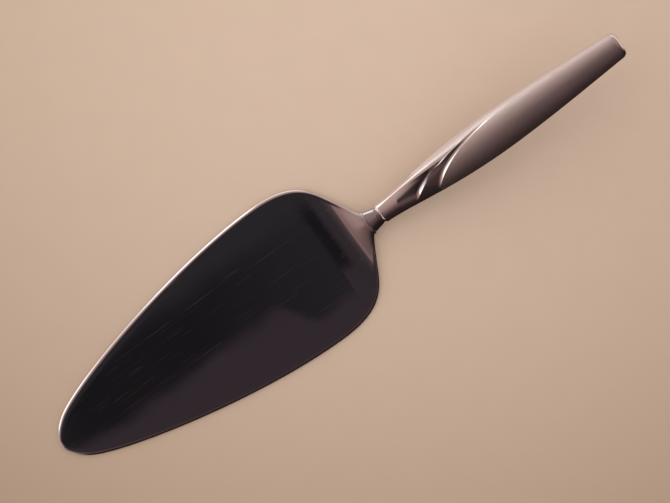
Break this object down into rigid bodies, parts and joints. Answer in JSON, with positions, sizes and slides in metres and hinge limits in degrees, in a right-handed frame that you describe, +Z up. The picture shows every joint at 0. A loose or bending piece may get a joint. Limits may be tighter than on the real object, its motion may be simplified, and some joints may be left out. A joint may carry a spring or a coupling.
{
  "type": "cake server",
  "caption": "Cake server with a broad flat polished blade, a cranked neck and a hollow oval handle with swept flutes behind a beaded collar.",
  "frame": {"origin": "middle of the base of the bounding box, on the plane that the blade's underside rests on", "axes": "+X along the server from the blade's tip to the handle's butt, +Y across the blade, +Z up"},
  "size_m": [0.2646, 0.063, 0.0327],
  "materials": {
    "blade_steel": "polished",
    "collar_steel": "polished",
    "handle_silver": "satin",
    "solder": "satin",
    "filler": "matte"
  },
  "bodies": {
    "root": {"blade": "blade_steel", "collar": "collar_steel", "handle_upper_shell": "handle_silver", "handle_lower_shell": "handle_silver", "seam_solder": "solder", "handle_filler": "filler"}
  },
  "joints": []
}
